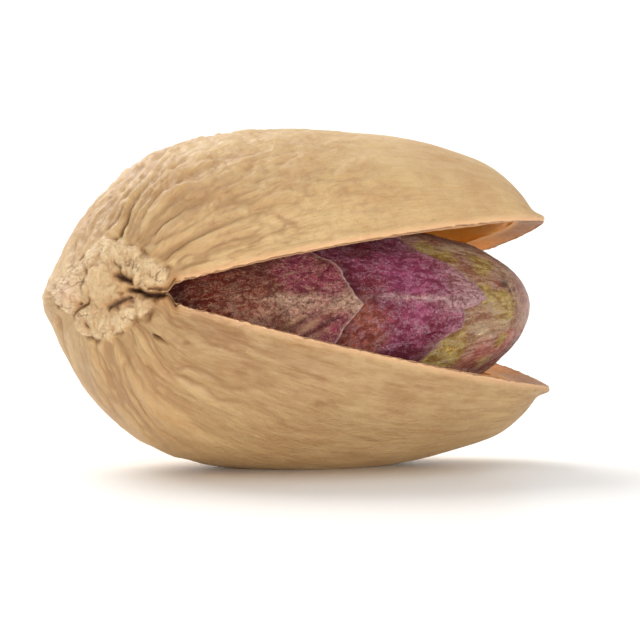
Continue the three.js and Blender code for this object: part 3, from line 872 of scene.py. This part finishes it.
def build_skin(name, edge, offset, lift, numbers, paint, relief_scale):
    """A thin skin over the seed, from its stem end to a torn edge."""
    work = Patchwork()
    wrinkle_noise, broad, ragged = (Noise(number) for number in numbers)
    psi_row = np.linspace(-np.pi, np.pi, SKIN_COLUMNS + 1)
    ring = RAGGED_RING * stacked(np.cos(psi_row), np.sin(psi_row), 0.0)
    reach = followed(edge, np.degrees(psi_row)) + EDGE_RAGGED * ragged.layers(ring, 4, 0.6)

    def side(stations, thickness=0.0):
        """The skin's outer side, or with no thickness the lining that lies on the seed."""
        x, psi = seed_grid(reach, stations, SKIN_COLUMNS)
        share = np.linspace(0, 1, stations + 1)[:, None]
        raised = offset + lift * smooth(np.cos(psi)) * share ** LIFT_POWER
        return closed_round(settled(seed_point(x, psi, raised + thickness))), round_fibres(x, psi)

    x, psi = seed_grid(reach, SKIN_STATIONS, SKIN_COLUMNS)
    to_edge = reach[None, :] - x
    wrinkles = wrinkled(seed_point(x, psi), round_fibres(x, psi), wrinkle_noise, broad)
    relief, values = paint(x, psi, wrinkles, broad, to_edge)
    taper = 1 - 0.55 * smooth(1 - to_edge / 0.5)
    outer, fibres = side(SKIN_STATIONS, SKIN_THICKNESS * taper + relief * relief_scale)
    work.grid(outer, False, dict(values, fibres=fibres))
    blank = dict.fromkeys(values, 0.0)
    inner, lining_fibres = side(LINING_STATIONS)
    work.grid(inner, True, dict(blank, fibres=lining_fibres))
    work.grid(np.stack((outer[-1], inner[-1])), False, dict(blank, rim=1.0, fibres=fibres[-1:]))
    return work.piece(name)


def wrinkled(base, fibres, veins, broad):
    """Relief of a dry skin: crests along the fibres, bent by a slower wave."""
    bend = 0.5 * broad.layers(base * 0.9, 2)[..., None]
    crests = 1 - 2.0 * np.abs(veins(fibres * (9.0, 9.0, 4.5) + bend))
    fine = 1 - 2.0 * np.abs(veins(fibres * (19.0, 19.0, 10.0) + 2 * bend))
    return 0.055 * np.clip(crests, -0.3, 1) + 0.035 * np.clip(fine, -0.3, 1)


def skin_paint(x, psi, wrinkles, broad, to_edge):
    """Relief and masks of the purple skin."""
    base = seed_point(x, psi)
    degrees = np.degrees(psi)
    gap = np.radians(degrees - followed(SKIN_RIB, x)) * SKIN_RIB_RADIUS
    rib_width = 0.14 + 0.20 * smooth((x - 13) / 3.5)
    rib = hump(gap, rib_width * (1 + 0.4 * broad(base * 2))) * smooth((x - 11.2) / 2.2)
    relief = (wrinkles + RIB_HEIGHT * rib) * (smooth(to_edge / 0.25) * 0.7 + 0.3)
    cloud = broad.layers(base * 1.3, 3)
    tip = smooth((x - 14.2) / 2.6) * smooth((degrees + 12) / 12) * smooth((56 - degrees) / 20)
    veil = np.clip(smooth(1.35 - to_edge / 2.2 + 0.8 * cloud) * tip + rib, 0, 1)
    veil = np.maximum(veil, 0.55 * smooth(1 - to_edge / 0.8 + 0.7 * cloud))
    # Painted shadow of the flap's edge, and painted shade on the skin's upper and lower sides and
    # towards the stem end.
    dark = hump(x - followed(FLAP_EDGE, degrees), 0.9)
    dark = np.maximum(dark, smooth((degrees - 22) / 16 + 0.5 * cloud) * smooth((15.2 - x) / 3))
    dark = np.maximum(dark, smooth((-17 - degrees) / 9 + 0.5 * cloud) * 0.9)
    dark = np.maximum(dark, 0.5 * smooth((11.6 - x) / 2 + 0.4 * cloud) * smooth(degrees / 10))
    return relief, {
        "veil": veil, "brown": smooth(near_spots(base, SKIN_BROWNS) + 0.3 * cloud),
        "dark": np.clip(dark, 0, 1), "fold": 0.0, "rim": 0.6 * smooth(1 - to_edge / 0.10),
        "purple": smooth(0.5 + 0.9 * broad(base * 0.6))}


def flap_paint(x, psi, wrinkles, broad, to_edge):
    """Relief and masks of the outer, brown skin with its folds."""
    base = seed_point(x, psi)
    degrees = np.degrees(psi)
    gap = np.radians(degrees - followed(FLAP_RIB, x)) * FLAP_RIB_RADIUS
    rib = hump(gap, 0.22 + 0.12 * broad(base * 1.5)) * smooth((x - 6) / 3)
    route = [seed_point(place, math.radians(turn)) for place, turn in FOLD_ROUTE]
    fold_gap, along = line_distance(base, route)
    below = degrees < -6
    fold = hump(fold_gap, 0.13) * np.sin(np.pi * np.clip(along * 0.85 + 0.1, 0, 1))
    second = hump(fold_gap - 0.42, 0.09) * np.sin(np.pi * np.clip(along, 0, 1)) * below
    cloud = broad.layers(base * 1.3, 3)
    relief = (wrinkles + RIB_HEIGHT * rib) * (smooth(to_edge / 0.25) * 0.7 + 0.3) + FLAP_FOLD * fold
    relief += SECOND_FOLD * second + FLAP_CURL * smooth(1 - to_edge / 0.5) * smooth(0.5 + cloud)
    purple = smooth(1.5 * near_spots(base, FLAP_PURPLES) + 0.4 * cloud - 0.1)
    near_rib = smooth(1.1 - np.abs(degrees + 1) / 11 + 0.3 * cloud)
    dust = smooth((x - 5.6) / 4.5 + 0.3 * cloud) * (0.15 + 0.85 * near_rib)
    dust = dust * (1 - 0.8 * smooth((-8 - degrees) / 7) * smooth((x - 9.0) / 0.8)) + 0.9 * rib
    # Darker towards the stem end and away from the rib.
    dark = np.maximum(smooth((6.6 - x) / 3.0 + 0.35 * cloud), 0.55 * (1 - near_rib) * (1 - purple))
    # Painted shade in a band under the fold.
    dark = np.maximum(dark, 0.8 * hump(fold_gap - 0.24, 0.09) * below)
    return relief, {
        "veil": np.clip(dust * (1 - 0.8 * purple), 0, 1), "purple": purple, "brown": 0.0,
        # fold: the fold's ridges painted pale as highlights.
        "dark": np.clip(dark, 0, 1), "fold": 0.7 * fold * smooth(0.6 + 1.4 * cloud) + 0.5 * second,
        "rim": smooth(1 - to_edge / 0.13)}


class Graph:
    """Adds and links the nodes of one material or node group."""

    def __init__(self, tree):
        self.tree = tree
        self.placed = 0

    def node(self, kind, inputs=(), **settings):
        node = self.tree.nodes.new(kind)
        node.location = (220 * (self.placed % 8), -260 * (self.placed // 8))
        self.placed += 1
        for key, value in settings.items():
            setattr(node, key, value)
        for key, value in dict(inputs).items():
            self.feed(node.inputs[key], value)
        return node

    def feed(self, socket, value):
        if isinstance(value, bpy.types.NodeSocket):
            self.tree.links.new(value, socket)
        else:
            socket.default_value = value

    def attribute(self, name):
        node = self.node("ShaderNodeAttribute", attribute_name=name)
        return node.outputs["Vector" if name == "fibres" else "Fac"]

    def math(self, operation, *values, clamp=False):
        return self.node("ShaderNodeMath", dict(enumerate(values)), operation=operation,
                         use_clamp=clamp).outputs[0]

    def noise(self, vector, scale, detail=2.0, roughness=0.5, distortion=0.0):
        return self.node("ShaderNodeTexNoise", {
            "Vector": vector, "Scale": scale, "Detail": detail, "Roughness": roughness,
            "Distortion": distortion}).outputs["Fac"]

    def ranged(self, value, low, high, to_low=0.0, to_high=1.0):
        return self.node("ShaderNodeMapRange", {
            "Value": value, "From Min": low, "From Max": high, "To Min": to_low,
            "To Max": to_high}, interpolation_type="SMOOTHSTEP").outputs[0]

    def mix(self, factor, a, b, blend="MIX"):
        return self.node("ShaderNodeMix", {0: factor, 6: a, 7: b}, data_type="RGBA",
                         blend_type=blend).outputs[2]

    def layered(self, colour, layers):
        """Lays colours over one another, each by a mask, or the name of one, times a share."""
        for mask, share, tint in layers:
            mask = self.attribute(mask) if isinstance(mask, str) else mask
            amount = mask if share == 1.0 else self.math("MULTIPLY", mask, share)
            colour = self.mix(amount, colour, tint)
        return colour

    def group(self, name, inputs):
        """One of the shared node groups, made when it is first asked for."""
        tree = bpy.data.node_groups.get(name) or GROUPS[name](name)
        node = self.node("ShaderNodeGroup", node_tree=tree)
        for key, value in inputs.items():
            self.feed(node.inputs[key], value)
        return node.outputs


def new_group(name, vectors, numbers, outputs):
    """An empty shader node group with named vector and number inputs and number outputs."""
    tree = bpy.data.node_groups.new(name, "ShaderNodeTree")
    for socket in vectors:
        tree.interface.new_socket(socket, in_out="INPUT", socket_type="NodeSocketVector")
    for socket, value in numbers.items():
        made = tree.interface.new_socket(socket, in_out="INPUT", socket_type="NodeSocketFloat")
        made.default_value = value
    for socket in outputs:
        tree.interface.new_socket(socket, in_out="OUTPUT", socket_type="NodeSocketFloat")
    graph = Graph(tree)
    given, out = graph.node("NodeGroupInput"), graph.node("NodeGroupOutput")
    return tree, graph, given.outputs, out.inputs


def along_fibres(g, given):
    """The places of the fibres, drawn out along them by the group's own Stretch."""
    stretch = g.node("ShaderNodeCombineXYZ", {0: 1.0, 1: 1.0, 2: given["Stretch"]}).outputs[0]
    return g.node("ShaderNodeVectorMath", {0: given["Fibres"], 1: stretch},
                  operation="MULTIPLY").outputs[0]


def mottling_group(name):
    """Soft clouds and fine specks, the uneven tone of anything grown."""
    tree, g, given, out = new_group(name, ("Vector",), {
        "Cloud Scale": 300.0, "Speck Scale": 2500.0}, ("Clouds", "Specks"))
    clouds = g.noise(given["Vector"], given["Cloud Scale"], 3.0, 0.55, 0.4)
    specks = g.noise(given["Vector"], given["Speck Scale"], 3.0, 0.65)
    g.feed(out["Clouds"], g.ranged(clouds, 0.3, 0.7))
    g.feed(out["Specks"], g.ranged(specks, 0.3, 0.7))
    return tree


def streak_group(name):
    """Fine lines along the fibres, with broken dashes."""
    tree, g, given, out = new_group(name, ("Fibres",), {
        "Count": 40.0, "Stretch": 0.12}, ("Lines", "Dashes"))
    along = along_fibres(g, given)
    lines = g.noise(along, given["Count"], 4.0, 0.6, 0.25)
    dashes = g.noise(along, g.math("MULTIPLY", given["Count"], 0.45), 5.0, 0.72, 0.6)
    g.feed(out["Lines"], g.ranged(lines, 0.32, 0.68))
    g.feed(out["Dashes"], g.ranged(dashes, 0.46, 0.28))
    return tree


def papery_group(name):
    """Crinkles, threads and grain of a dry skin, part along its fibres and part every way."""
    tree, g, given, out = new_group(name, ("Fibres", "Vector"), {
        "Count": 18.0, "Stretch": 0.4, "Crinkle Scale": 3500.0}, ("Height", "Threads", "Grain"))
    count, fine, vector = given["Count"], given["Crinkle Scale"], given["Vector"]
    along = along_fibres(g, given)

    def ridge(noise, width):
        return g.ranged(g.math("ABSOLUTE", g.math("SUBTRACT", noise, 0.5)), width, 0.0)

    waves = g.ranged(g.noise(along, count, 5.0, 0.7, 0.5), 0.28, 0.72)
    lines = ridge(g.noise(along, g.math("MULTIPLY", count, 2.7), 3.0, 0.65, 0.5), 0.045)
    bent = ridge(g.noise(vector, fine, 4.0, 0.7, 0.3), 0.035)
    grain = g.ranged(g.noise(vector, g.math("MULTIPLY", fine, 2.4), 3.0, 0.75), 0.32, 0.68)
    threads = g.math("MAXIMUM", lines, g.math("MULTIPLY", bent, 0.7))
    broken = g.math("MULTIPLY", g.ranged(waves, 0.25, 0.7, 0.05, 1.3),
                    g.ranged(grain, 0.1, 0.8, 0.4, 1.0))
    height = g.math("ADD", g.math("MULTIPLY", waves, 0.6), g.math("MULTIPLY", threads, 0.4))
    g.feed(out["Height"], height)
    g.feed(out["Threads"], g.math("MULTIPLY", threads, broken, clamp=True))
    g.feed(out["Grain"], grain)
    return tree


GROUPS = {"Grown mottling": mottling_group, "Fibre streaks": streak_group,
          "Papery wrinkles": papery_group}


def material_graph(name):
    """A material with a Principled surface, the graph to wire it with, and its places."""
    material = bpy.data.materials.new(name)
    material.use_nodes = True
    g = Graph(material.node_tree)
    vector = g.node("ShaderNodeTexCoord").outputs["Object"]
    return material, g, material.node_tree.nodes["Principled BSDF"], vector


def mottling(g, vector, cloud_scale, speck_scale):
    return g.group("Grown mottling", {"Vector": vector, "Cloud Scale": cloud_scale,
                                      "Speck Scale": speck_scale})


def bumped(graph, surface, height, strength, distance):
    node = graph.node("ShaderNodeBump", {"Height": height, "Strength": strength,
                                         "Distance": distance})
    graph.feed(surface.inputs["Normal"], node.outputs[0])


def shell_material(looks):
    material, g, surface, vector = material_graph("Pistachio shell")
    clouds = mottling(g, vector, 420.0, 4200.0)
    fibres = g.attribute("fibres")
    streaks = g.group("Fibre streaks", {"Fibres": fibres, "Count": 30.0, "Stretch": 0.22})
    blots = g.group("Fibre streaks", {"Fibres": fibres, "Count": 12.0, "Stretch": 0.5})
    crumb = g.ranged(g.noise(vector, 2600.0, 4.0, 0.7), 0.3, 0.7)
    scar = g.layered(g.mix(crumb, looks.scar_dark, looks.scar), (
        ("island", 0.7, looks.island), ("pink", 0.6, looks.scar_pink)))
    colour = g.mix(clouds["Clouds"], looks.shell_dark, looks.shell_light)
    # The deep mask paints shade on the lower valve's front, and also thickens the brown dashes there.
    colour = g.mix(g.attribute("deep"), colour, looks.shell_deep, "MULTIPLY")
    brown = g.math("ADD", 0.22, g.math("MULTIPLY", g.attribute("deep"), 0.34))
    colour = g.layered(colour, (
        (blots["Lines"], 0.30, looks.shell_pale), (blots["Dashes"], brown, looks.shell_brown),
        (streaks["Dashes"], brown, looks.shell_brown), (streaks["Lines"], 0.12, looks.shell_pale),
        # The layer for grooves is brown and painted shade in grooves and between the folds.
        # The lip layer is the paler broken edge with painted light.
        ("groove_brown_and_shade", 0.6, looks.shell_brown), ("lip", 0.75, looks.rim),
        # The broad rim layer is painted shade on the beaks' broad rims.
        # The inner layer is the hollow's tan with a painted glow.
        ("broad_rim_shade", 0.85, looks.beak_floor), ("inner", 1.0, looks.inner_wall), ("scar", 1.0, scar),
        # The last two layers paint shade beside and inside cracks, slits, hollows and gaps.
        ("halo", 0.75, looks.halo), ("crack", 1.0, looks.crack)))
    g.feed(surface.inputs["Base Color"], colour)
    g.feed(surface.inputs["Roughness"], g.ranged(clouds["Specks"], 0.0, 1.0, 0.46, 0.66))
    surface.inputs["Specular IOR Level"].default_value = 0.4
    g.feed(surface.inputs["Subsurface Weight"], g.ranged(g.attribute("inner"), 0.0, 1.0, 0.1, 0.5))
    surface.inputs["Subsurface Radius"].default_value = (1.0, 0.6, 0.25)
    surface.inputs["Subsurface Scale"].default_value = SHELL_GLOW
    grain = g.math("MULTIPLY", clouds["Specks"], g.math("ADD", 0.5, g.attribute("scar")))
    height = g.math("ADD", g.math("MULTIPLY", streaks["Lines"], 0.5), grain)
    bumped(g, surface, height, 0.6, SHELL_BUMP)
    return material


def papery_finish(g, surface, vector, count, stretch, crinkle_scale):
    """Bump and roughness of a dry skin, and the wrinkles that its colour follows."""
    skin = g.group("Papery wrinkles", {
        "Fibres": g.attribute("fibres"), "Vector": vector, "Count": count, "Stretch": stretch,
        "Crinkle Scale": crinkle_scale})
    height = g.math("ADD", skin["Height"], g.math("MULTIPLY", skin["Grain"], 0.3))
    bumped(g, surface, height, 1.0, SKIN_BUMP)
    g.feed(surface.inputs["Roughness"], g.ranged(skin["Grain"], 0.0, 1.0, 0.34, 0.6))
    surface.inputs["Specular IOR Level"].default_value = 0.5
    return skin


def skin_material(name, looks, kind):
    """Either skin of the seed. kind, skin or flap, begins the names of the colours it takes."""
    material, g, surface, vector = material_graph(name)
    clouds = mottling(g, vector, 620.0, 4200.0)
    skin = papery_finish(g, surface, vector, 15.0, 0.65, 3600.0)

    def tint(part):
        return getattr(looks, f"{kind}_{part}", looks.skin_edge)

    dusting = g.ranged(skin["Grain"], 0.0, 0.8, 0.45, 1.0)
    light = g.math("SUBTRACT", 1.0, g.math("MULTIPLY", g.attribute("dark"), 0.6))
    colour = g.layered(g.mix(clouds["Clouds"], tint("deep"), tint("plain")), (
        # The dark layer is painted shade and shadow on the inner skin; on the outer skin it darkens
        # the stem end and the band under the fold.
        ("purple", 1.0, tint("purple")), ("dark", 0.9, tint("dark")),
        ("brown", 0.75, looks.skin_brown), ("veil", dusting, tint("dust")),
        # Painted shade in the wrinkles' hollows and painted highlight on their crests.
        (g.ranged(skin["Height"], 0.38, 0.14), 0.7, tint("dark")),
        (g.ranged(skin["Height"], 0.55, 0.95), 0.35, tint("vein")),
        (skin["Threads"], light, tint("vein")),
        (g.ranged(skin["Grain"], 0.25, 0.0), 0.5, tint("dark")),
        # The fold layer is a painted highlight on the outer skin's fold ridges.
        ("fold", 1.0, tint("fold")), ("rim", 1.0, looks.skin_edge)))
    g.feed(surface.inputs["Base Color"], colour)
    return material


def kernel_material(looks):
    material, g, surface, vector = material_graph("Pistachio kernel")
    clouds = mottling(g, vector, 800.0, 3600.0)
    skin = papery_finish(g, surface, vector, 13.0, 0.35, 3000.0)
    green = g.mix(clouds["Specks"], looks.kernel_dark, looks.kernel_green)
    colour = g.layered(g.mix(clouds["Clouds"], looks.film_dark, looks.film), (
        # The dark layer is painted shade under the shell's lips.
        ("mauve", 0.8, looks.film_mauve), ("green", 1.0, green), ("dark", 0.8, looks.film_deep),
        # Painted shade in the wrinkles' hollows and painted highlight on their crests.
        (g.ranged(skin["Height"], 0.42, 0.10), 0.75, looks.film_deep),
        (g.ranged(skin["Height"], 0.55, 0.95), 0.35, looks.film_pale),
        (skin["Threads"], 0.85, looks.film_pale), ("tip", 0.55, looks.film_pale),
        # This layer paints the shade of small hollows that the mesh doesn't sink.
        ("pit_shade", 1.0, looks.pit)))
    g.feed(surface.inputs["Base Color"], colour)
    return material


def floor_material(looks):
    material, g, surface, vector = material_graph("Studio floor")
    clouds = g.ranged(g.noise(vector, 12.0), 0.3, 0.7)
    g.feed(surface.inputs["Base Color"], g.mix(clouds, looks.floor, looks.floor_warm))
    surface.inputs["Roughness"].default_value = 0.45
    surface.inputs["Specular IOR Level"].default_value = 0.5
    return material


def number_property(name, description, default, **kind):
    return bpy.props.FloatProperty(name=name, description=description, default=default,
                                   min=0.0, **kind)


def size_property(name, description, default):
    return number_property(name, description, default, subtype="DISTANCE", unit="LENGTH",
                           precision=5)


def colour_property(name, description, rgb):
    """A colour given as the eye sees it, kept as linear light."""
    linear = [((c / 255 + 0.055) / 1.055) ** 2.4 if c > 10 else c / 255 / 12.92 for c in rgb]
    return bpy.props.FloatVectorProperty(name=name, description=description, size=4,
                                         default=(*linear, 1.0), min=0.0, max=1.0,
                                         subtype="COLOR")


class PistachioSizes(bpy.types.PropertyGroup):
    """Sizes of the relief that can be changed without moving a piece"""
    fold_height: size_property("Fold height", "Height of the folds round the scar", MM)
    scar_height: size_property("Scar height", "Height of the crumbs of the scar", MM)
    skin_relief: size_property("Skin relief", "Height of the veins of both skins", SKIN_RELIEF * MM)
    seed_relief: size_property("Seed relief", "Height of the seed's wrinkles", SEED_RELIEF * MM)


class PistachioLooks(bpy.types.PropertyGroup):
    """Colours of the nut and the floor"""
    __annotations__ = {key: colour_property(key.replace("_", " ").capitalize(), *row)
                       for key, row in COLOURS.items()}


class PistachioStudio(bpy.types.PropertyGroup):
    """Strengths of the lights"""
    key_power: number_property("Key", "Strength of the key light", 2.3)
    card_power: number_property("Card", "Power of the low front card", 0.95,
                                subtype="POWER", unit="POWER")
    softbox: number_property("Softbox", "Strength of the soft light above", 1.0)
    sky: number_property("Sky", "Strength of the white surroundings", 0.15)
    backdrop: number_property("Backdrop", "Strength of the white behind the nut", 1.1)


def dress(obj, material, node):
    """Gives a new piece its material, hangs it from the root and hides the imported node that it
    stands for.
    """
    obj.data.materials.append(material)
    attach(obj, "root")
    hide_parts(node)


class PISTACHIO_OT_shell(bpy.types.Operator):
    """Make the split shell with its scar, folds and rims"""
    bl_idname = "pistachio.make_shell"
    bl_label = "Make shell"

    def execute(self, context):
        shell = build_shell(context.scene.pistachio_sizes)
        dress(shell, shell_material(context.scene.pistachio_looks), "shell")
        return {"FINISHED"}


class PISTACHIO_OT_kernel(bpy.types.Operator):
    """Make the seed with its green patches and dusty film"""
    bl_idname = "pistachio.make_kernel"
    bl_label = "Make seed"

    def execute(self, context):
        kernel = build_kernel(context.scene.pistachio_sizes)
        dress(kernel, kernel_material(context.scene.pistachio_looks), "kernel")
        return {"FINISHED"}


class PISTACHIO_OT_skins(bpy.types.Operator):
    """Make the two papery skins with their torn edges"""
    bl_idname = "pistachio.make_skins"
    bl_label = "Make skins"

    def execute(self, context):
        looks = context.scene.pistachio_looks
        share = context.scene.pistachio_sizes.skin_relief / MM / SKIN_RELIEF
        coat = build_skin("pistachio_seed_coat", SKIN_EDGE, SKIN_GAP, 0.0, COAT_NOISES,
                          skin_paint, share)
        dress(coat, skin_material("Pistachio seed coat", looks, "skin"), "seed_coat")
        flap = build_skin("pistachio_seed_coat_flap", FLAP_EDGE, 2 * SKIN_GAP + SKIN_THICKNESS,
                          FLAP_LIFT, FLAP_NOISES, flap_paint, share)
        dress(flap, skin_material("Pistachio seed coat flap", looks, "flap"), "seed_coat_flap")
        return {"FINISHED"}


def camera_axes():
    a, e = CAMERA_AZIMUTH, CAMERA_ELEVATION
    back = Vector((math.sin(a) * math.cos(e), -math.cos(a) * math.cos(e), math.sin(e)))
    right = Vector((math.cos(a), math.sin(a), 0))
    return back, right, back.cross(right)


class PISTACHIO_OT_stage(bpy.types.Operator):
    """Make the plain floor, the soft lights and the camera"""
    bl_idname = "pistachio.make_stage"
    bl_label = "Make stage"

    def execute(self, context):
        scene = context.scene
        studio = scene.pistachio_studio
        half = FLOOR_HALF
        mesh = bpy.data.meshes.new("floor")
        mesh.from_pydata([(-half, -half, 0), (half, -half, 0), (half, half, 0), (-half, half, 0)],
                         [], [(0, 1, 2, 3)])
        floor = placed("floor", mesh)
        floor.data.materials.append(floor_material(scene.pistachio_looks))
        key = bpy.data.lights.new("key", "SUN")
        key.energy = studio.key_power
        key.angle = KEY_SPREAD
        key.color = KEY_COLOUR
        placed("key", key, way=KEY_FROM)
        card = bpy.data.lights.new("card", "AREA")
        card.energy = studio.card_power
        card.size = CARD_SIZE
        placed("card", card, CARD_PLACE, CARD_PLACE)
        back, right, up = camera_axes()
        world = bpy.data.worlds.new("white surroundings")
        world.use_nodes = True
        g = Graph(world.node_tree)
        way = g.node("ShaderNodeTexCoord").outputs["Generated"]
        behind = g.node("ShaderNodeVectorMath", {0: way, 1: tuple(-back)}, operation="DOT_PRODUCT")
        above = g.node("ShaderNodeVectorMath", {0: way, 1: SOFTBOX_FROM}, operation="DOT_PRODUCT")
        white = g.ranged(behind.outputs["Value"], *BACKDROP_RANGE, 0.0, studio.backdrop)
        soft = g.ranged(above.outputs["Value"], *SOFTBOX_RANGE, studio.sky, studio.softbox)
        surroundings = world.node_tree.nodes["Background"].inputs
        g.feed(surroundings["Strength"], g.math("MAXIMUM", white, soft))
        surroundings["Color"].default_value = (1.0, 1.0, 1.0, 1.0)
        scene.world = world
        aim = Vector(CAMERA_TARGET) + right * CAMERA_OFFSET[0] + up * CAMERA_OFFSET[1]
        data = bpy.data.cameras.new("camera")
        data.sensor_width = SENSOR
        data.lens = SENSOR * CAMERA_DISTANCE / CAMERA_FIELD
        data.clip_start, data.clip_end = CAMERA_CLIP
        scene.camera = placed("camera", data, (aim + back * CAMERA_DISTANCE) * MM, -back, "-Z")
        scene.view_settings.view_transform = "Standard"
        return {"FINISHED"}


class PISTACHIO_PT_panel(bpy.types.Panel):
    """Sizes, colours and pieces of the pistachio"""
    bl_label = "Pistachio"
    bl_space_type = "VIEW_3D"
    bl_region_type = "UI"
    bl_category = "Pistachio"

    def draw(self, context):
        for name, kind in PROPERTIES.items():
            box = self.layout.box()
            for value in kind.__annotations__:
                box.prop(getattr(context.scene, name), value)
        for operator in OPERATORS:
            self.layout.operator(operator.bl_idname)


OPERATORS = (PISTACHIO_OT_stage, PISTACHIO_OT_shell, PISTACHIO_OT_kernel, PISTACHIO_OT_skins)
PROPERTIES = {"pistachio_sizes": PistachioSizes, "pistachio_looks": PistachioLooks,
              "pistachio_studio": PistachioStudio}
CLASSES = (*PROPERTIES.values(), *OPERATORS, PISTACHIO_PT_panel)


def register():
    for made in CLASSES:
        bpy.utils.register_class(made)
    for name, group in PROPERTIES.items():
        setattr(bpy.types.Scene, name, bpy.props.PointerProperty(type=group))


def unregister():
    for name in PROPERTIES:
        delattr(bpy.types.Scene, name)
    for made in reversed(CLASSES):
        bpy.utils.unregister_class(made)


def main():
    register()
    bpy.ops.pistachio.make_stage()
    bpy.ops.pistachio.make_shell()
    bpy.ops.pistachio.make_kernel()
    bpy.ops.pistachio.make_skins()


if __name__ == "__main__":
    main()
